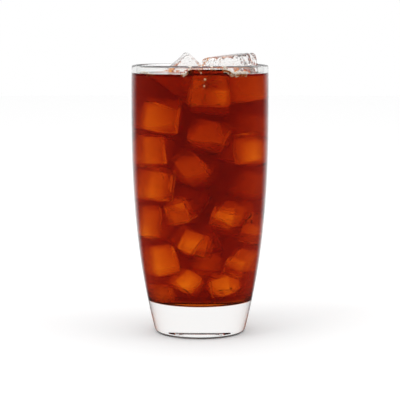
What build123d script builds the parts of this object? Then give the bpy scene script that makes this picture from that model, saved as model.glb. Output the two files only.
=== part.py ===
from build123d import *
import os

# Iced coffee in a tall clear tumbler, filled almost to the lip, with ice floating in it.
# Millimetres, +Z up, origin at the centre of the foot on the surface that the glass stands on.

# Tumbler
height = 150.0  # foot to lip
belly_radius = 38.25  # widest outside radius, the belly
belly_drop = 18.0  # from the lip down to the belly
lip_lean = 0.25  # how far the lip leans in over the belly
foot_taper = 13.1  # how much narrower the foot is than the belly
taper_power = 2.7  # how quickly the side curves in towards the foot
wall = 2.5
base_thickness = 18.4  # solid glass under the drink
floor_round = 4.5  # inside corner between the floor and the wall
heel_round = 2.2  # outside corner between the foot and the side
lip_round = 1.15  # both edges of the fire-polished lip
foot_ring = 6.5  # width of the ring that the glass stands on
push_up = 1.2  # hollow under the foot, inside that ring

# Drink and floating ice
headspace = 5.0  # from the lip down to the drink
ice_wall_gap = 0.6  # least gap between ice and glass
ice_gap = 0.5  # least gap between two blocks
ice_draft = 3.0  # degrees that the sides of a moulded block lean in
ice_melt = 2.6  # rounding of a block's edges by melting

# Floating blocks: name, edge length, bearing round the axis in degrees, from the wall to the
# block's centre, from the drink's surface up to the centre, and turns about X, Y and Z.
floating_ice = [
    ("ice_front", 19.0, -77.0, 13.9, -7.4, (-2.0, 4.0, -7.0)),
    ("ice_right", 25.4, 12.5, 18.4, -2.5, (1.5, -7.0, 44.0)),
    ("ice_left", 18.2, 113.0, 16.2, -0.3, (12.0, -42.0, 6.0)),
]

belly_height = height - belly_drop
foot_radius = belly_radius - foot_taper
level = height - headspace
overcut = 2.0  # how far a cutting solid runs past what it cuts
side_stations = 13  # points that the side's formula is sampled at


def side_radius(z):
    """Outside radius at height z: the belly's radius, less a power curve below the belly and
    a shallow parabola above it."""
    if z < belly_height:
        return belly_radius - foot_taper * (1 - z / belly_height) ** taper_power
    return belly_radius - lip_lean * ((z - belly_height) / belly_drop) ** 2


def side_curve(start, end, inset):
    """Points of the side between two heights, moved in by inset."""
    step = (end - start) / (side_stations - 1)
    heights = [start + step * i for i in range(side_stations)]
    return [(side_radius(z) - inset, z) for z in heights]


# The glass before it is hollowed: a solid of revolution with a shallow hollow under the foot
with BuildPart() as blank:
    with BuildSketch(Plane.XZ):
        with BuildLine():
            side = Spline(*side_curve(0, height, 0))
            dimple_radius = foot_radius - foot_ring
            dimple = ThreePointArc(
                (-dimple_radius, 0),
                (0, push_up),
                (dimple_radius, 0),
            )
            split(bisect_by=Plane.YZ, keep=Keep.TOP)
            Line((dimple_radius, 0), side @ 0)
            Line(side @ 1, (0, height))
            Line((0, height), (0, push_up))
        make_face()
    revolve(axis=Axis.Z)
    heel = blank.edges().filter_by(GeomType.CIRCLE).group_by(Axis.Z)[0].sort_by(SortBy.RADIUS)[-1]
    fillet(heel, heel_round)

# Everything inside the wall, open through the lip
with BuildPart() as cavity:
    with BuildSketch(Plane.XZ):
        with BuildLine():
            inner_side = Spline(*side_curve(base_thickness, height + overcut, wall))
            Line(inner_side @ 1, (0, height + overcut))
            Line((0, height + overcut), (0, base_thickness))
            Line((0, base_thickness), inner_side @ 0)
        make_face()
    revolve(axis=Axis.Z)
    floor_edge = cavity.edges().filter_by(GeomType.CIRCLE).group_by(Axis.Z)[0]
    fillet(floor_edge, floor_round)

with BuildPart() as tumbler:
    add(blank.part)
    add(cavity.part, mode=Mode.SUBTRACT)
    lip_edges = tumbler.edges().filter_by(GeomType.CIRCLE).group_by(Axis.Z)[-1]
    fillet(lip_edges, lip_round)

# Where ice can float: inside the wall with a gap, and up past the lip
with BuildPart() as ice_room:
    with BuildSketch(Plane.XZ):
        with BuildLine():
            room_top = height + max(edge for _, edge, *_ in floating_ice)
            room_floor = base_thickness + ice_wall_gap
            room_side = Spline(*side_curve(room_floor, height, wall + ice_wall_gap))
            Line(room_side @ 1, (side_radius(height) - wall - ice_wall_gap, room_top))
            Line((side_radius(height) - wall - ice_wall_gap, room_top), (0, room_top))
            Line((0, room_top), (0, room_floor))
            Line((0, room_floor), room_side @ 0)
        make_face()
    revolve(axis=Axis.Z)

# Moulded blocks with leaning sides and melted edges; each is cut back where it would come
# closer than the gap to the glass or to a block made before it
ice_parts = {}
ice_claims = []
for name, edge, bearing, standoff, rise, turns in floating_ice:
    reach = side_radius(level) - wall - standoff
    spot = Vector(reach, 0, level + rise).rotate(Axis.Z, bearing)
    middle = Plane(Location(spot, turns))
    with BuildPart() as block:
        with BuildSketch(middle.offset(-edge / 2)):
            Rectangle(edge, edge)
        extrude(amount=edge, taper=ice_draft)
        fillet(block.edges(), ice_melt)
        add(ice_room.part, mode=Mode.INTERSECT)
        for claim in ice_claims:
            add(claim.part, mode=Mode.SUBTRACT)
    grown = edge + 2 * ice_gap
    with BuildPart() as claim:
        with BuildSketch(middle.offset(-grown / 2)):
            Rectangle(grown, grown)
        extrude(amount=grown, taper=ice_draft)
    ice_claims.append(claim)
    ice_parts[name] = block.part

# The drink: all of the cavity below the level, cut round the ice
with BuildPart() as coffee:
    add(cavity.part)
    split(bisect_by=Plane.XY.offset(level), keep=Keep.BOTTOM)
    for ice_part in ice_parts.values():
        add(ice_part, mode=Mode.SUBTRACT)

os.makedirs("parts", exist_ok=True)
tumbler.part.label = "tumbler"
export_step(tumbler.part, "parts/tumbler.step")
coffee.part.label = "coffee"
export_step(coffee.part, "parts/coffee.step")
for name, ice_part in ice_parts.items():
    ice_part.label = name
    export_step(ice_part, f"parts/{name}.step")
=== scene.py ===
import math

import bmesh
import bpy
import numpy as np
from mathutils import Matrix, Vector


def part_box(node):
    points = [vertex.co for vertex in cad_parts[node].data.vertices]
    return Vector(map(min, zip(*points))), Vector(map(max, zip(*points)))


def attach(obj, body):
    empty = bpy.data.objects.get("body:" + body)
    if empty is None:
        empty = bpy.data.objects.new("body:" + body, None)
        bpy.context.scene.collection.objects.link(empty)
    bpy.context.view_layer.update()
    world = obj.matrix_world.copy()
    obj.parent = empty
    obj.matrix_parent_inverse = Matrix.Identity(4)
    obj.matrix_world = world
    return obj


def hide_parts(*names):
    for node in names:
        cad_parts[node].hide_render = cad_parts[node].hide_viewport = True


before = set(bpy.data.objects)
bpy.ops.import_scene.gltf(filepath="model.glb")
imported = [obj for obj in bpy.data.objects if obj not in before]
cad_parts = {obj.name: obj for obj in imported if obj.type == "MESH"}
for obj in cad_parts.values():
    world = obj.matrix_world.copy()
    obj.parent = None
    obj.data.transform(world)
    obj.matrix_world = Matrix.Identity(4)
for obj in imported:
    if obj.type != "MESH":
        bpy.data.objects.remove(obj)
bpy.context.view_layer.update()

# ------------------------------------------------------------------------------------------
# Tumbler. Clear pressed soda-lime glass: a thin wall that curves in to a narrow foot, a lip
# melted round by fire polishing, and a thick solid base with a shallow hollow under it.
# ------------------------------------------------------------------------------------------
MM = 0.001

tumbler_low, tumbler_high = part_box("tumbler")
height = tumbler_high.z / MM
belly_radius = (tumbler_high.x - tumbler_low.x) / 2 / MM
belly_drop = 18.0  # from the lip down to the widest place
belly_height = height - belly_drop
lip_lean = 0.25  # how far the side leans in again above the widest place
foot_taper = 13.1  # how far it leans in down at the foot
taper_power = 2.7
wall = 2.5
base_thickness = 18.4
floor_round = 4.5
heel_round = 2.2
lip_round = 1.15
push_up = 1.2  # height of the hollow under the base
foot_width = 6.5  # from the side in to that hollow
hollow_radius = belly_radius - foot_taper - foot_width
columns = 224  # columns of faces round the glass
arc_gap = 0.5  # from the end of a rounding to the first ring of the side past it


def side_radius(z):
    """Outside radius at height z: the belly's radius, less foot_taper (1 - z / belly)^power
    below the belly, and less a shallow parabola above it."""
    below = foot_taper * np.clip(1 - z / belly_height, 0, None) ** taper_power
    above = lip_lean * np.clip((z - belly_height) / (height - belly_height), 0, None) ** 2
    return belly_radius - below - above


def side_angle(z):
    """Angle of the side from upright at height z, from the slope of side_radius."""
    step = 0.01
    return np.arctan((side_radius(z + step) - side_radius(z - step)) / (2 * step))


def arc(centre_r, centre_z, radius, start, end, count):
    """Points of a circle from angle start to angle end: centre + radius (cos a, sin a)."""
    a = np.linspace(start, end, count)
    return np.column_stack([centre_r + radius * np.cos(a), centre_z + radius * np.sin(a)])


def side_line(start, end, inset, count):
    """The side between two heights, moved in towards the axis: (side_radius(z) - inset, z)."""
    z = np.linspace(start, end, count)
    return np.column_stack([side_radius(z) - inset, z])


def line(start, end, count):
    """Points of a straight line, its first end left out."""
    t = np.linspace(0, 1, count + 1)[1:, None]
    return np.array(start) * (1 - t) + np.array(end) * t


def cavity_line(top, bite, count):
    """Outline of the inside from the axis along the floor, round its corner and up the wall to
    a height, moved into the glass by bite."""
    floor = base_thickness - bite
    centre_z = base_thickness + floor_round
    lean = side_angle(centre_z)
    centre_r = side_radius(centre_z) - wall - floor_round / math.cos(lean)
    corner = arc(centre_r, centre_z, floor_round + bite, -math.pi / 2, -lean, 12)
    start = corner[-1, 1] + arc_gap
    return np.vstack([
        [[0, floor]],
        line((0, floor), (centre_r, floor), 14)[:-1],
        corner,
        side_line(start, top, wall - bite, count),
    ])


def turned(outline):
    """A grid of rings: the outline's point (r, z) turned by angle t lies at
    (r cos t, r sin t, z)."""
    t = np.arange(columns) * (2 * math.pi / columns)
    r, z = outline[:, :1], outline[:, 1:]
    return np.stack([r * np.cos(t), r * np.sin(t), z + 0 * t], axis=-1)


def capped(rings):
    """Points and faces of a closed skin over a grid of rings whose first and last rings have
    shrunk to a point: quads between rings, a fan of triangles at each end. With rings that run
    up outside, faces point outwards."""
    rows, cols = rings.shape[:2]
    points = np.vstack([rings[0, :1], rings[1:-1].reshape(-1, 3), rings[-1, :1]])
    here = np.arange(cols)
    there = np.roll(here, -1)
    low = (np.arange(rows - 3)[:, None] * cols + 1)
    quads = np.stack([low + here, low + there, low + cols + there, low + cols + here], axis=-1)
    last = len(points) - 1
    first_fan = np.stack([0 * here, there + 1, here + 1], axis=-1)
    last_fan = np.stack([0 * here + last, last - cols + here, last - cols + there], axis=-1)
    return points, [quads.reshape(-1, 4), first_fan, last_fan]


def added(name, data):
    """An object for a mesh, a lamp or a camera, put into the scene."""
    made = bpy.data.objects.new(name, data)
    bpy.context.scene.collection.objects.link(made)
    return made


def read(items, field):
    """Places kept in a mesh's vertices or faces, in millimetres."""
    values = np.empty(len(items) * 3)
    items.foreach_get(field, values)
    return values.reshape(-1, 3) / MM


def piece(name, points, face_groups, materials, choose=None):
    """A smooth-shaded mesh object at the origin from points in millimetres. Where it has more
    than one material, choose gives each face's number from the faces' middles."""
    mesh = bpy.data.meshes.new(name)
    faces = [face for group in face_groups for face in group.tolist()]
    mesh.from_pydata((points * MM).tolist(), [], faces)
    mesh.polygons.foreach_set("use_smooth", np.ones(len(faces), dtype=bool))
    for material in materials:
        mesh.materials.append(material)
    if choose:
        mesh.polygons.foreach_set("material_index", choose(read(mesh.polygons, "center")))
    mesh.update()
    return added(name, mesh)


def node(tree, kind, **values):
    """A node of a kind, with its properties or its plain inputs set by name."""
    made = tree.nodes.new(kind)
    for key, value in values.items():
        if hasattr(made, key):
            setattr(made, key, value)
        else:
            made.inputs[key.replace("_", " ")].default_value = value
    return made


def clear_material(name, ior, roughness, tint):
    """A Principled material for a clear solid or liquid, with its tree and shader."""
    made = bpy.data.materials.new(name)
    made.use_nodes = True
    shader = made.node_tree.nodes["Principled BSDF"]
    shader.inputs["Base Color"].default_value = (*tint, 1)
    shader.inputs["Roughness"].default_value = roughness
    shader.inputs["IOR"].default_value = ior
    shader.inputs["Transmission Weight"].default_value = 1
    return made, made.node_tree, shader


level = height - 5.0
climb = 0.5  # how far the drink's edge climbs the wall
contact = level + climb
foot_radius = belly_radius - foot_taper
dome = (hollow_radius**2 + push_up**2) / (2 * push_up)
dome_r = np.linspace(0, hollow_radius, 14)
hollow = np.column_stack([dome_r, np.sqrt(dome**2 - dome_r**2) - dome + push_up])
heel_lean = side_angle(0.5)
heel_r = foot_radius - heel_round * (1 - math.sin(heel_lean)) / math.cos(heel_lean)
heel = arc(heel_r, heel_round, heel_round, -math.pi / 2, -heel_lean, 10)
heel_gap = 0.8  # from the heel's rounding to the side's first ring
lip_gap = 0.3  # from the side's last ring to the lip's rounding
lip_z = height - lip_round
lip_outer = arc(side_radius(height) - lip_round, lip_z, lip_round, 0, math.pi / 2, 9)
lip_inner = arc(
    side_radius(height) - wall + lip_round, lip_z, lip_round, math.pi / 2, math.pi, 9
)
tumbler_outline = np.vstack([
    hollow,
    line(hollow[-1], heel[0], 5)[:-1],
    heel,
    side_line(heel[-1, 1] + heel_gap, lip_z - lip_gap, 0, 110),
    lip_outer,
    lip_inner,
    side_line(contact, lip_z - lip_gap, wall, 5)[:0:-1],
    cavity_line(contact, 0, 90)[::-1],
])

ior_glass = 1.5
ior_drink = 1.34


def effect(name, inputs):
    """A node group with named number inputs and a Normal output."""
    group = bpy.data.node_groups.new(name, "ShaderNodeTree")
    for socket, value in inputs.items():
        group.interface.new_socket(socket, in_out="INPUT", socket_type="NodeSocketFloat")
        group.interface.items_tree[socket].default_value = value
    group.interface.new_socket("Normal", in_out="OUTPUT", socket_type="NodeSocketVector")
    return group, node(group, "NodeGroupInput"), node(group, "NodeGroupOutput")


def use(tree, group, shader, **values):
    """Places an effect in a material and feeds its Normal to the shader."""
    placed = node(tree, "ShaderNodeGroup", node_tree=group)
    for key, value in values.items():
        placed.inputs[key].default_value = value
    tree.links.new(placed.outputs["Normal"], shader.inputs["Normal"])


# Slow waves in a surface: noise at Scale waves a metre, Depth metres deep
uneven, given, out_node = effect("uneven_surface", {"Scale": 38.0, "Depth": 0.0001})
coords = node(uneven, "ShaderNodeTexCoord")
sag = node(uneven, "ShaderNodeTexNoise", Detail=1.0)
uneven.links.new(coords.outputs["Object"], sag.inputs["Vector"])
uneven.links.new(given.outputs["Scale"], sag.inputs["Scale"])
ripple = node(uneven, "ShaderNodeBump", Strength=1.0)
uneven.links.new(sag.outputs["Fac"], ripple.inputs["Height"])
uneven.links.new(given.outputs["Depth"], ripple.inputs["Distance"])
uneven.links.new(ripple.outputs["Normal"], out_node.inputs["Normal"])

face_tint = (0.99, 0.995, 0.99)  # glass seen straight on
painted_edge_shade = (0.16, 0.17, 0.17)  # painted shade: the colour the glass turns where it is seen along its surface
edge_power = 6.0  # how narrow that edge is


def glass_finish(name, ior, painted_edge_colour):
    """Clear glass with the faint unevenness that pressing leaves, and painted shade: its colour
    goes dark where the eye looks along its surface."""
    made, tree, shader = clear_material(name, ior, 0.0, face_tint)
    use(tree, uneven, shader, Scale=38.0, Depth=0.00015)
    turned_away = node(tree, "ShaderNodeLayerWeight", Blend=0.5)
    edge = node(tree, "ShaderNodeMath", operation="POWER")
    edge.inputs[1].default_value = edge_power
    tree.links.new(turned_away.outputs["Facing"], edge.inputs[0])
    shade = node(tree, "ShaderNodeMix", data_type="RGBA")
    shade.inputs[6].default_value = (*face_tint, 1)
    shade.inputs[7].default_value = (*painted_edge_colour, 1)
    tree.links.new(edge.outputs[0], shade.inputs["Factor"])
    tree.links.new(shade.outputs[2], shader.inputs["Base Color"])
    return made


# Light bends less where glass meets drink than where it meets air
glass = glass_finish("clear_glass", ior_glass, painted_edge_shade)
wetted_glass = glass_finish("wetted_glass", ior_glass / ior_drink, (0.9, 0.9, 0.9))
# The foot's ring: rough and bumpy where it is scuffed, and nearly black in colour, a painted
# contact shadow
foot_scuff_and_shadow, tree, shader = clear_material("foot_scuff_and_shadow", ior_glass, 0.12, (0.02, 0.02, 0.02))
use(tree, uneven, shader, Scale=900.0, Depth=0.00004)
scuff_and_shadow_height = 1.1  # how far up the heel the foot's ring reaches: scuffed, and painted nearly black as a contact shadow
scuff_and_shadow_inset = 0.4  # and how far in from where the heel's rounding starts


def glass_part(middles):
    """1 for faces of the foot's ring, scuffed and painted dark as a contact shadow, 0 for the
    rest.
    """
    x, y, z = middles.T
    return ((z < scuff_and_shadow_height) & (np.hypot(x, y) > heel_r - scuff_and_shadow_inset)).astype(np.int32)


tumbler = piece(
    "tumbler_glass", *capped(turned(tumbler_outline)), [glass, foot_scuff_and_shadow, wetted_glass], glass_part
)
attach(tumbler, "root")
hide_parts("tumbler")

# ------------------------------------------------------------------------------------------
# Ice. Moulded cubes from a tray, worn round and slightly wavy by melting. Three float through
# the surface; the rest is packed loosely below it, each cube turned its own way.
# ------------------------------------------------------------------------------------------
draft = math.tan(math.radians(3.0))  # lean of a moulded cube's sides
melt = 2.6  # rounding of the floating cubes' edges
sunk_melt = 1.3  # the sunk ones, kept cold by the drink, are sharper
ice_gap = 0.75  # least gap between two cubes, with room for their waves
glass_gap = 0.4  # least gap between a cube and the glass
bite = 0.08  # how far the drink reaches into glass and ice, so that no air gap shows
ice_climb = 0.8  # how far the drink climbs floating ice, as a share of its climb up the wall
drawn_up = 2.6  # how far the gap between front cube and wall draws the drink up


def turning(turns):
    """Rotation matrix for turns in degrees about X, then the turned Y, then the turned Z."""
    a, b, c = np.radians(turns)
    about_x = [[1, 0, 0], [0, math.cos(a), -math.sin(a)], [0, math.sin(a), math.cos(a)]]
    about_y = [[math.cos(b), 0, math.sin(b)], [0, 1, 0], [-math.sin(b), 0, math.cos(b)]]
    about_z = [[math.cos(c), -math.sin(c), 0], [math.sin(c), math.cos(c), 0], [0, 0, 1]]
    return np.array(about_x) @ np.array(about_y) @ np.array(about_z)


def block_grid(flat, bend):
    """Six square grids that share their edges, as a rounded block's core point (-1 to 1 each
    way) and outward direction. Along each side of a grid the flat part's points are even, and
    past the core the excess grows as tan(a), so that the rounding's points are even too."""
    rim = np.tan(np.linspace(0, math.pi / 4, bend + 1)[1:])
    u = np.concatenate([-1 - rim[::-1], np.linspace(-1, 1, flat + 1), 1 + rim])
    a, b = np.meshgrid(u, u, indexing="ij")
    face = np.stack([a, b, np.full_like(a, 2.0)], axis=-1)
    sides = [face, face[..., [1, 0, 2]] * [1, 1, -1]]
    sides += [side[..., [2, 0, 1]] for side in sides] + [side[..., [1, 2, 0]] for side in sides]
    index = np.arange(a.size).reshape(a.shape)
    quad = np.stack([index[:-1, :-1], index[1:, :-1], index[1:, 1:], index[:-1, 1:]], axis=-1)
    loose = np.concatenate([side.reshape(-1, 3) for side in sides])
    faces = np.concatenate([quad.reshape(-1, 4) + k * a.size for k in range(6)])
    points, place = np.unique(loose.round(6), axis=0, return_inverse=True)
    core = np.clip(points, -1, 1)
    out = points - core
    return core, out / np.linalg.norm(out, axis=1, keepdims=True), place.reshape(-1)[faces]


core, out, block_faces = block_grid(6, 3)
draws = np.random.default_rng(7)


def block(cube, shrink=0.0):
    """A rounded block: core point times (half size - rounding), plus rounding times outward
    direction, moved along it by a sum of three sine waves; its sides lean in by the draft."""
    half = np.array(cube["sizes"]) / 2
    points = core * (half - cube["melt"]) + out * cube["melt"]
    sway = np.sin(points @ cube["along"].T + cube["shift"]) @ cube["height"]
    points = points + out * (sway - shrink)[:, None]
    points[:, :2] -= points[:, :2] / half[:2] * draft * (points[:, 2:] + half[2])
    return points @ turning(cube["turns"]).T + cube["centre"]


def melting():
    """Three random sine waves for a block's surface: wave vectors, shifts and heights."""
    along = draws.normal(size=(3, 3))
    along *= (2 * math.pi / draws.uniform(14, 30, 3) / np.linalg.norm(along, axis=1))[:, None]
    shift = draws.uniform(0, 6.3, 3)
    return {"along": along, "shift": shift, "height": draws.uniform(0.1, 0.3, 3)}


settle_steps = 400
pull_back = 0.06  # share of the way back to its wanted place that a cube is drawn each step
pull_fade = 1.4  # that pull has died away after 1 / pull_fade of the steps
parallel = 1e-3  # a shorter cross product comes from two parallel edges
surface_gap = 1.2  # least depth of a sunk cube below the surface


def settle(cubes, held):
    """Pushes cubes apart. For two boxes the gap is the largest, over their 15 separating axes,
    of |distance along the axis| less both half widths; where it is less than wanted, the pair
    moves apart along that axis. Corners past the glass move in towards the axis."""
    centres = np.array([cube["centre"] for cube in cubes], float)
    wanted = centres.copy()
    rounding = np.array([cube["melt"] for cube in cubes])
    cores = np.array([cube["sizes"] for cube in cubes]) / 2 - rounding[:, None]
    frames = np.array([turning(cube["turns"]) for cube in cubes])
    first, second = np.triu_indices(len(cubes), 1)
    a, b = frames[first], frames[second]
    crossed = np.cross(a[:, :, :, None], b[:, :, None, :], axis=1).reshape(len(first), 3, 9)
    axes = np.concatenate([a, b, crossed], axis=2)
    length = np.linalg.norm(axes, axis=1, keepdims=True)
    axes = axes / np.where(length > parallel, length, np.inf)
    reach = (np.abs(np.einsum("pia,pik->pak", axes, a)) * cores[first][:, None]).sum(2)
    reach += (np.abs(np.einsum("pia,pik->pak", axes, b)) * cores[second][:, None]).sum(2)
    signs = np.stack(np.meshgrid(*[[-1, 1]] * 3, indexing="ij"), axis=-1).reshape(-1, 3)
    corners = np.einsum("nij,ncj->nci", frames, signs * cores[:, None])
    free = (np.arange(len(cubes)) >= held).astype(float)
    share = free[first] + free[second]
    for step in range(settle_steps):
        fade = max(0.0, 1 - pull_fade * step / settle_steps)
        centres += (wanted - centres) * pull_back * fade
        apart = centres[first] - centres[second]
        along = np.einsum("pia,pi->pa", axes, apart)
        gaps = np.where(length[:, 0] > parallel, np.abs(along) - reach, -np.inf)
        best = gaps.argmax(1)
        rows = np.arange(len(first))
        short = np.clip(rounding[first] + rounding[second] + ice_gap - gaps[rows, best], 0, None)
        push = axes[rows, :, best] * (np.sign(along[rows, best]) * short * 0.5)[:, None]
        push = push / np.maximum(share, 1)[:, None]
        np.add.at(centres, first, push * free[first][:, None])
        np.add.at(centres, second, -push * free[second][:, None])
        tips = corners + centres[:, None]
        radius = np.linalg.norm(tips[..., :2], axis=2)
        room = side_radius(tips[..., 2]) - wall - glass_gap - rounding[:, None]
        over = np.clip((radius - room).max(1), 0, None) * free
        outward = centres[:, :2] / np.linalg.norm(centres[:, :2], axis=1)[:, None]
        centres[:, :2] -= outward * over[:, None]
        floor = base_thickness + glass_gap + rounding
        centres[:, 2] += np.clip(floor - tips[..., 2].min(1), 0, None) * free
        roof = level - surface_gap - rounding
        centres[:, 2] -= np.clip(tips[..., 2].max(1) - roof, 0, None) * free
    return centres


floating = {
    "ice_front": ((19.0, 19.0, 19.0), (-2.0, 4.0, -7.0)),
    "ice_right": ((25.4, 25.4, 25.4), (1.5, -7.0, 44.0)),
    "ice_left": ((18.2, 18.2, 18.2), (12.0, -42.0, 6.0)),
}
cubes = []
for name, (sizes, turns) in floating.items():
    low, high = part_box(name)
    centre = np.array((low + high) / 2) / MM
    cubes.append({"centre": centre, "sizes": sizes, "turns": turns, "melt": melt})

# Place in the glass, edge lengths and turns of each sunk cube. They lie in rows that run from
# the front of the glass to the back, from the top down, with drink standing between the rows
sunk = [
    (-18.5, -13.5, 123, (18, 14, 18), (2, 7, 6)),
    (-16.5, 3.5, 120, (16, 14, 15), (-4, 18, 12)),
    (-14, 20, 118, (15, 13, 15), (12, -8, 25)),
    (-2.5, -3.5, 136, (10, 11, 13), (10, 15, 20)),
    (2, 22, 135.5, (14, 17, 14), (4, 8, 6)),
    (15, 21, 117, (14, 13, 12), (10, 30, 30)),
    (5.5, -17.5, 114, (20, 12, 12), (3, 11, 4)),
    (4, -2.5, 111.5, (15, 13, 13), (8, 25, 10)),
    (2, 14, 109.5, (14, 15, 13), (10, -15, 20)),
    (-22.3, -13.3, 103, (12, 13, 15), (0, -3, 4)),
    (-21, 2, 101, (13, 13, 16), (8, 10, 8)),
    (-16.5, 17.5, 101, (14, 14, 16), (-8, 12, -14)),
    (23, -12, 105, (13, 13, 16), (-3, -8, -6)),
    (22, 5, 103, (14, 14, 13), (-15, -8, -10)),
    (17, 20, 101.5, (14, 15, 13), (6, 15, 20)),
    (-4.5, -23.8, 95.5, (13, 11, 19), (0, -40, 0)),
    (-5, -8, 93.5, (13, 14, 12), (14, -20, 14)),
    (-3, 20, 91, (15, 15, 14), (16, 20, -14)),
    (-21.3, -12.8, 85.2, (14, 14, 17), (3, 9, 6)),
    (-19.5, 3.5, 83.3, (14, 14, 16), (-6, 12, 8)),
    (-16, 19.5, 82.5, (14, 13, 16), (8, -14, 4)),
    (21, 3, 84, (15, 15, 14), (10, 20, -20)),
    (-12, -22.7, 71, (12, 10, 11), (3, -14, 6)),
    (-9, -8, 69, (12, 13, 12), (4, -30, 6)),
    (-8, 7, 67, (12, 12, 14), (-15, -6, 38)),
    (-5.5, 21.5, 72, (13, 12, 12), (12, 20, 8)),
    (14.3, -20.8, 68, (12, 11, 11), (2, 14, -6)),
    (13.5, -8, 67, (12, 13, 11), (0, 28, -6)),
    (12.5, 4, 66, (13, 12, 12), (-16, 14, 30)),
    (10, 19, 65, (13, 14, 13), (18, 10, 16)),
    (-24.5, -7.5, 64.3, (11, 12, 17), (2, 2, 6)),
    (-21.5, 6.5, 62, (12, 13, 16), (8, 12, 10)),
    (-16, 20.5, 61, (12, 12, 16), (10, 12, 20)),
    (22, 12, 64, (13, 12, 12), (-10, 12, 20)),
    (-4.5, -23.3, 54, (14, 11, 12), (-2, 18, 2)),
    (-4, -9.5, 51.5, (13, 13, 12), (-8, 38, 10)),
    (-3.5, 5, 50.5, (13, 13, 11), (30, 14, 4)),
    (-2.5, 19, 51, (13, 13, 13), (8, -8, 12)),
    (25, -7.5, 57, (11, 12, 10), (0, 15, -12)),
    (-17.3, -13.3, 44.3, (13, 12, 15), (3, -12, 6)),
    (-16, 0, 42.5, (13, 13, 15), (12, -10, 10)),
    (-13.5, 14.5, 42.5, (13, 13, 15), (10, -24, 20)),
    (18, -14.3, 41.5, (11, 11, 10), (3, 20, -6)),
    (17.5, -4.5, 41, (11, 12, 11), (14, 34, -8)),
    (14.5, 9.5, 42, (12, 13, 11), (-15, 16, 20)),
    (2.5, -12, 40, (12, 12, 12), (0, 20, 30)),
    (4, 16, 40, (9, 12, 8), (-10, 5, 6)),
    (-5.2, -21.3, 35, (10, 9, 10), (2, 38, 2)),
    (-5.5, -8.5, 32.5, (11, 12, 10), (8, 34, 34)),
    (-4, 4, 31.5, (12, 12, 11), (10, 26, 10)),
    (-5.5, 18, 30, (10, 11, 9), (8, 12, 8)),
    (10.5, -17.8, 30, (11, 9, 10), (0, -14, -4)),
    (10, -6, 29.5, (11, 11, 10), (8, -24, -6)),
    (8.5, 7, 29.5, (12, 11, 11), (6, 10, 10)),
    (7.5, 19, 28.5, (10, 11, 9), (4, 10, 6)),
    (-16.5, -11.5, 24, (10, 11, 9), (3, 4, 12)),
    (-16, 3, 23.8, (10, 12, 9), (3, -5, 8)),
]
for x, y, z, sizes, turns in sunk:
    centre = np.array([x, y, z])
    cubes.append({"centre": centre, "sizes": sizes, "turns": turns, "melt": sunk_melt})
for cube in cubes:
    cube.update(melting())
for cube, centre in zip(cubes, settle(cubes, len(floating))):
    cube["centre"] = centre

# Shallow melted hollows with ridges between them: distances to scattered points
dimples, given, out_node = effect("melt_dimples", {"Scale": 260.0, "Depth": 0.0005})
coords = node(dimples, "ShaderNodeTexCoord")
cells = node(dimples, "ShaderNodeTexVoronoi", Randomness=1.0)
dimples.links.new(coords.outputs["Object"], cells.inputs["Vector"])
dimples.links.new(given.outputs["Scale"], cells.inputs["Scale"])
relief = node(dimples, "ShaderNodeBump", Strength=1.0)
dimples.links.new(cells.outputs["Distance"], relief.inputs["Height"])
dimples.links.new(given.outputs["Depth"], relief.inputs["Distance"])
dimples.links.new(relief.outputs["Normal"], out_node.inputs["Normal"])

# Real ice has an index of 1.31 in air and 0.98 in the drink. The first is lower here, so that
# the cubes' tops stay pale, and the second stands on the other side of 1
ice, tree, shader = clear_material("melting_ice", 1.16, 0.03, (0.99, 0.975, 0.965))
shader.inputs["Transmission Weight"].default_value = 0.93
use(tree, dimples, shader, Scale=330.0, Depth=0.0011)
wet_ice, tree, shader = clear_material("ice_in_drink", 1.017, 0.0, (0.99, 0.99, 0.99))
shader.inputs["Transmission Weight"].default_value = 0.985
use(tree, dimples, shader, Scale=110.0, Depth=0.0005)


def joined(parts):
    """Points and faces of several blocks as one mesh."""
    points = np.concatenate(parts)
    step = len(core)
    return points, np.concatenate([block_faces + k * step for k in range(len(parts))])


def part_at(floating_piece, waterline):
    """Cuts a floating block's faces along the waterline and gives those below it the second
    material."""
    made = bmesh.new()
    made.from_mesh(floating_piece.data)
    bmesh.ops.bisect_plane(
        made,
        geom=made.verts[:] + made.edges[:] + made.faces[:],
        plane_co=(0, 0, waterline * MM),
        plane_no=(0, 0, 1),
    )
    for face in made.faces:
        face.material_index = int(face.calc_center_median().z < waterline * MM)
    made.to_mesh(floating_piece.data)
    made.free()


for name, cube in zip(floating, cubes):
    shape = block(cube)
    cube_piece = piece(name + "_cube", shape, [block_faces], [ice, wet_ice])
    part_at(cube_piece, level + (drawn_up if name == "ice_front" else ice_climb * climb))
    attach(cube_piece, "root")
    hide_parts(name)

sunk_cubes = cubes[len(floating):]
points, faces = joined([block(cube) for cube in sunk_cubes])
sunk_piece = piece("ice_sunk", points, [faces], [wet_ice])
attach(sunk_piece, "root")

# ------------------------------------------------------------------------------------------
# Coffee. Clear cold coffee poured over the ice: it fills the glass, climbs a little up the
# wall and the floating ice, and leaves each sunk cube its own hollow.
# ------------------------------------------------------------------------------------------
climb_width = 1.6  # how far from glass and ice the climb has died away to a third
pinch_past = (2.0, 9.0)  # how far the drawn-up part reaches past the front cube, left and right
pinch_ends = (3.5, 11.0)  # over what width it rises there
pinch_back = 2.0  # how far behind the cube's front face it ends
pinch_fall = 2.5  # over what depth it falls there


def smooth(t):
    """Smooth step from 0 to 1: t^2 (3 - 2 t), with t held between 0 and 1."""
    t = np.clip(t, 0, 1)
    return t * t * (3 - 2 * t)


def in_block(x, y, z, cube):
    """A point as seen from a block's centre, along the block's own axes."""
    return (np.stack([x, y, z + 0 * x], axis=-1) - cube["centre"]) @ turning(cube["turns"])


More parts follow.
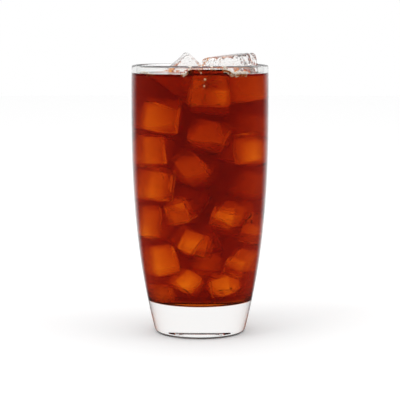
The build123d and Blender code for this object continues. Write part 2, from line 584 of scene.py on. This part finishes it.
def off_block(x, y, z, cube):
    """Distance outside a block: length of max(|p| - half size + rounding, 0) less the
    rounding, for the point p along the block's own axes."""
    p = in_block(x, y, z, cube)
    over = np.clip(np.abs(p) - np.array(cube["sizes"]) / 2 + cube["melt"], 0, None)
    return np.linalg.norm(over, axis=-1) - cube["melt"]


def surface_height(x, y):
    """The level plus a climb that dies away as exp(-distance / width) from glass and ice, plus
    what is drawn up between the front cube and the wall, with smooth steps at its ends."""
    to_wall = side_radius(level) - wall - np.hypot(x, y)
    rise = np.exp(-np.clip(to_wall, 0, None) / climb_width)
    for cube in cubes[:len(floating)]:
        off = np.clip(off_block(x, y, level, cube), 0, None)
        rise = np.maximum(rise, ice_climb * np.exp(-off / climb_width))
    across, depth, _ = np.moveaxis(in_block(x, y, level, cubes[0]), -1, 0)
    half = cubes[0]["sizes"][0] / 2
    pinch = smooth((across + half + pinch_past[0]) / pinch_ends[0])
    pinch = pinch * smooth((half + pinch_past[1] - across) / pinch_ends[1])
    pinch = pinch * smooth((pinch_back - half - depth) / pinch_fall)
    return level + climb * rise + drawn_up * pinch


def open_surface(radius, drop):
    """Rings of the drink's surface, closing in from a radius to the axis and lowered by drop."""
    t = np.linspace(0, 1, 70)
    rings = radius * (1 - t**1.25)
    top = turned(np.column_stack([rings, rings]))
    top[..., 2] = surface_height(top[..., 0], top[..., 1]) - drop
    return top


def cut_round_ice(drink, finishes):
    """Takes the floating blocks, made a bite smaller, out of a piece of the drink. Faces where
    it was cut get the last material. Gives its points, faces and face materials."""
    points, faces = joined([block(cube, bite) for cube in cubes[:len(floating)]])
    last = len(finishes) - 1
    cutter = piece("cutter", points, [faces], finishes, lambda m: np.full(len(m), last))
    cut = drink.modifiers.new("cut", "BOOLEAN")
    cut.operation, cut.solver, cut.object = "DIFFERENCE", "EXACT", cutter
    bpy.context.view_layer.update()
    done = drink.evaluated_get(bpy.context.evaluated_depsgraph_get())
    mesh = bpy.data.meshes.new_from_object(done)
    bpy.data.objects.remove(cutter)
    bpy.data.objects.remove(drink)
    faces = [list(face.vertices) for face in mesh.polygons]
    return read(mesh.vertices, "co"), faces, [face.material_index for face in mesh.polygons]


def sharp_piece(name, points, faces, finishes, finish_of):
    """A piece from plain lists, smooth but for its sharp edges."""
    mesh = bpy.data.meshes.new(name)
    mesh.from_pydata((points * MM).tolist(), [], faces)
    for finish in finishes:
        mesh.materials.append(finish)
    mesh.polygons.foreach_set("material_index", finish_of)
    mesh.polygons.foreach_set("use_smooth", np.ones(len(mesh.polygons), dtype=bool))
    mesh.set_sharp_from_angle(angle=math.radians(50))
    mesh.update()
    return added(name, mesh)


absorbed = (31.0, 80.0, 160.0)  # per metre: red, green, blue
density = 200.0  # what the node multiplies its colour's shortfall from white by to get those
floor_darkening = (0.62, 0.5, 0.5)  # how much darker the drink's tint is over the floor
first_film = (1.0, 0.27, 0.01)  # what is left of white light after the first thin layer
coffee_depth, tree, shader = clear_material("coffee_depth", 1.0, 0.0, (1.0, 1.0, 1.0))
volume = node(tree, "ShaderNodeVolumeAbsorption")
volume.inputs["Color"].default_value = (*[1 - value / density for value in absorbed], 1)
volume.inputs["Density"].default_value = density
tree.links.new(volume.outputs["Volume"], tree.nodes["Material Output"].inputs["Volume"])
tint = node(tree, "ShaderNodeAttribute", attribute_name="film_tint")
tree.links.new(tint.outputs["Color"], shader.inputs["Base Color"])

rim_radius = side_radius(contact) - wall
shell = turned(cavity_line(contact, bite, 110))
# The top few millimetres stretch to meet the drink's edge, which stands at its own height
edge_height = surface_height(shell[-1, :, 0], shell[-1, :, 1])
stretched = 4.0
calm = level - stretched
stretch = np.clip((shell[..., 2] - calm) / (contact - calm), 0, None)
shell[..., 2] = np.where(stretch > 0, calm + stretch * (edge_height - calm), shell[..., 2])
body = capped(np.concatenate([shell, open_surface(rim_radius + bite, bite / 2)]))
points, faces, finish_of = cut_round_ice(piece("uncut", *body, [coffee_depth]), [coffee_depth])
# Each sunk cube's hollow is a closed shell of its own, its faces turned in
hollows, hollow_faces = joined([block(cube, bite) for cube in sunk_cubes])
faces += (hollow_faces[:, ::-1] + len(points)).tolist()
finish_of += [0] * len(hollow_faces)
points = np.vstack([points, hollows])
coffee = sharp_piece("coffee_drink", points, faces, [coffee_depth], finish_of)

# The tint stands where the drink lies against the glass, darker over the floor
x, y, z = points.T
against_glass = np.arange(len(points)) < len(points) - len(hollows)
floor_darkening_reach = 1.0  # how far above the floor's rounding that darker tint reaches
low_down = z < base_thickness + floor_round + floor_darkening_reach
against_glass &= low_down | (np.hypot(x, y) > side_radius(z) - wall + bite / 2)
tints = np.ones((len(points), 4))
tints[against_glass, :3] = first_film
tints[low_down & against_glass, :3] *= floor_darkening
film_tint = coffee.data.attributes.new("film_tint", "FLOAT_COLOR", "POINT")
film_tint.data.foreach_set("color", tints.ravel())
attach(coffee, "root")
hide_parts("coffee")

# The inside of the glass is wet up to the drink's edge
middles = read(tumbler.data.polygons, "center")
x, y, z = middles.T
inside = np.hypot(x, y) < side_radius(z) - wall / 2
wet = inside & (z > base_thickness / 2) & (z < surface_height(x, y))
finish_of = glass_part(middles)
finish_of[wet] = 2
tumbler.data.polygons.foreach_set("material_index", finish_of)

# The open surface is a skin of its own: its top reflects, its underside has the drink's colour
skin_depth = 0.9
coffee_top, tree, shader = clear_material("coffee_surface", ior_drink, 0.0, (1.0, 1.0, 1.0))
use(tree, uneven, shader, Scale=60.0, Depth=0.0002)
under_surface = clear_material("under_surface", 1.0, 0.0, (0.5, 0.15, 0.03))[0]
under = open_surface(rim_radius + bite, skin_depth)[::-1]
skin = capped(np.concatenate([under, open_surface(rim_radius + bite, 0)]))


def faces_down(middles):
    """1 for faces nearer the skin's underside than its top."""
    x, y, z = middles.T
    return (z < surface_height(x, y) - skin_depth / 2).astype(np.int32)


skin_finishes = [coffee_top, under_surface]
uncut = piece("uncut", *skin, skin_finishes, faces_down)
points, faces, finish_of = cut_round_ice(uncut, skin_finishes)
surface = sharp_piece("coffee_surface", points, faces, skin_finishes, finish_of)
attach(surface, "root")

# ------------------------------------------------------------------------------------------
# Bubbles. Air caught while pouring: loose froth of small bubbles along the edge of the drink,
# thickest at both ends of the drawn-up part, and three air bells behind the front wall.
# ------------------------------------------------------------------------------------------
turns_round, rings_up = 10, 6
polar = np.linspace(0, math.pi, rings_up + 1)[:, None]
turn = np.arange(turns_round) * (2 * math.pi / turns_round)
ball_rings = np.stack([
    np.sin(polar) * np.cos(turn),
    np.sin(polar) * np.sin(turn),
    -np.cos(polar) + 0 * turn,
], axis=-1)
ball, ball_groups = capped(ball_rings)


def bubbles_at(centres, radii):
    """One closed ball for each centre, its points centre + radius times the unit ball."""
    points = (centres[:, None] + radii[:, None, None] * ball).reshape(-1, 3)
    shift = (np.arange(len(centres)) * len(ball))[:, None, None]
    return points, [(group[None] + shift).reshape(-1, group.shape[1]) for group in ball_groups]


# Where they lie: first and last bearing, number, spread in from the wall, spread in height
raft = [(-70.0, -46.0, 110, 0.9, 1.3), (-106.0, -98.0, 22, 0.5, 1.1), (-94.0, -74.0, 9, 0.6, 0.5),
        (-150.0, -115.0, 9, 0.5, 0.3), (20.0, 60.0, 26, 1.4, 0.4), (150.0, 175.0, 14, 1.2, 0.3)]
smallest, largest = 0.3, 0.8
spots, radii = [], []
for start, end, count, spread, rise in raft:
    bearing = np.radians(draws.uniform(start, end, count))
    size = smallest + (largest - smallest) * draws.uniform(0, 1, count) ** 1.5
    out_r = side_radius(level) - wall - size - spread * draws.uniform(0, 1, count) ** 2
    x, y = out_r * np.cos(bearing), out_r * np.sin(bearing)
    up = surface_height(x, y) + rise * draws.uniform(-0.7, 0.9, count)
    spots.append(np.column_stack([x, y, up]))
    radii.append(size)
spots.append([(0.5, -34.7, 146.4), (2.6, -34.6, 142.9), (2.2, -34.7, 139.4)])
radii.append([0.5, 0.7, 0.55])
centres = np.vstack(spots)
points, groups = bubbles_at(centres, np.concatenate(radii))
film, tree, shader = clear_material("bubble_film", 1.2, 0.0, (1.0, 0.9, 0.76))
shader.inputs["Transmission Weight"].default_value = 0.1
use(tree, uneven, shader, Scale=900.0, Depth=0.00005)
froth = piece("bubbles", points, groups, [film])
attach(froth, "root")

# Where a bubble presses against the glass no coffee stands in front of it
pressed_off = 1.4  # how far from a bubble's middle it has pressed the drink away
drink_points = read(coffee.data.vertices, "co")
for centre in centres:
    off = np.linalg.norm(drink_points - centre, axis=1)
    tints[off < pressed_off, :3] = 1
film_tint.data.foreach_set("color", tints.ravel())

# ------------------------------------------------------------------------------------------
# Studio. A table of white paper in a white surround, lit all round and by two soft lamps, and
# a camera a little above the lip. Only mirror images on the outside see a darker room.
# ------------------------------------------------------------------------------------------
def room_light(tree, coords):
    """What the room sends to a mirror along a direction: white from behind the glass, as a
    smooth step on the direction's Y, grey to white from above, almost black from elsewhere."""
    place = node(tree, "ShaderNodeTexCoord")
    away = node(tree, "ShaderNodeVectorMath", operation="NORMALIZE")
    split = node(tree, "ShaderNodeSeparateXYZ")
    tree.links.new(place.outputs[coords], away.inputs[0])
    tree.links.new(away.outputs[0], split.inputs["Vector"])
    room = node(tree, "ShaderNodeMapRange", From_Min=0.6, From_Max=1.0, To_Min=0.06, To_Max=1.0)
    room.interpolation_type = "SMOOTHSTEP"
    tree.links.new(split.outputs["Y"], room.inputs["Value"])
    above = node(tree, "ShaderNodeMapRange", From_Min=0.25, From_Max=0.8, To_Min=0.0, To_Max=0.8)
    tree.links.new(split.outputs["Z"], above.inputs["Value"])
    lighter = node(tree, "ShaderNodeMath", operation="MAXIMUM")
    tree.links.new(room.outputs["Result"], lighter.inputs[0])
    tree.links.new(above.outputs["Result"], lighter.inputs[1])
    return lighter.outputs[0]


def first_mirror(tree):
    """1 for a ray that comes off a mirror-like surface and has gone through nothing."""
    path = node(tree, "ShaderNodeLightPath")
    mirrored = node(tree, "ShaderNodeMath", operation="SUBTRACT", use_clamp=True)
    tree.links.new(path.outputs["Is Glossy Ray"], mirrored.inputs[0])
    tree.links.new(path.outputs["Transmission Depth"], mirrored.inputs[1])
    return mirrored.outputs[0]


floor_mesh = bpy.data.meshes.new("floor")
floor_reach = 3.0
floor_drop = 0.0002  # below the foot, so that the two don't share a plane
floor_mesh.from_pydata(
    [(-floor_reach, -floor_reach, -floor_drop), (floor_reach, -floor_reach, -floor_drop),
     (floor_reach, floor_reach, -floor_drop), (-floor_reach, floor_reach, -floor_drop)],
    [], [(0, 1, 2, 3)],
)
floor = added("floor", floor_mesh)
paper = bpy.data.materials.new("white_paper")
paper.use_nodes = True
tree = paper.node_tree
tree.nodes.remove(tree.nodes["Principled BSDF"])
matt = node(tree, "ShaderNodeBsdfDiffuse")
tree.links.new(matt.outputs["BSDF"], tree.nodes["Material Output"].inputs["Surface"])
shade = node(tree, "ShaderNodeMix", data_type="RGBA")
shade.inputs[6].default_value = (0.98, 0.98, 0.98, 1)
tree.links.new(room_light(tree, "Object"), shade.inputs[7])
tree.links.new(first_mirror(tree), shade.inputs["Factor"])
tree.links.new(shade.outputs[2], matt.inputs["Color"])
floor_mesh.materials.append(paper)

world = bpy.data.worlds.new("white_surround")
bpy.context.scene.world = world
world.use_nodes = True
tree = world.node_tree
back = tree.nodes["Background"]
back.inputs["Color"].default_value = (1, 1, 1, 1)
shade = node(tree, "ShaderNodeMix", data_type="FLOAT")
shade.inputs[2].default_value = 1.0
tree.links.new(room_light(tree, "Generated"), shade.inputs[3])
tree.links.new(first_mirror(tree), shade.inputs["Factor"])
tree.links.new(shade.outputs[0], back.inputs["Strength"])


def lamp(name, place, aim, size, power):
    """A square soft lamp at a place, aimed at a point."""
    light = bpy.data.lights.new(name, "AREA")
    light.size = size
    light.energy = power
    made = added(name, light)
    made.location = place
    direction = Vector(aim) - Vector(place)
    made.rotation_euler = direction.to_track_quat("-Z", "Y").to_euler()


lamp("key_lamp", (-0.7, -0.5, 1.2), (0, 0, 0.07), 0.7, 3.0)
lamp("fill_lamp", (0.9, -0.3, 0.9), (0, 0, 0.07), 0.7, 1.5)

camera_data = bpy.data.cameras.new("camera")
camera_data.lens = 128.3
camera_data.sensor_width = 36
camera = added("camera", camera_data)
camera.location = (0, -0.7959, 0.1679)
looks_down = 6.714
camera.rotation_euler = (math.radians(90 - looks_down), 0, 0)
bpy.context.scene.camera = camera

scene = bpy.context.scene
scene.view_settings.view_transform = "Standard"
scene.cycles.max_bounces = 40
scene.cycles.transmission_bounces = 40
scene.cycles.glossy_bounces = 12
scene.cycles.diffuse_bounces = 16
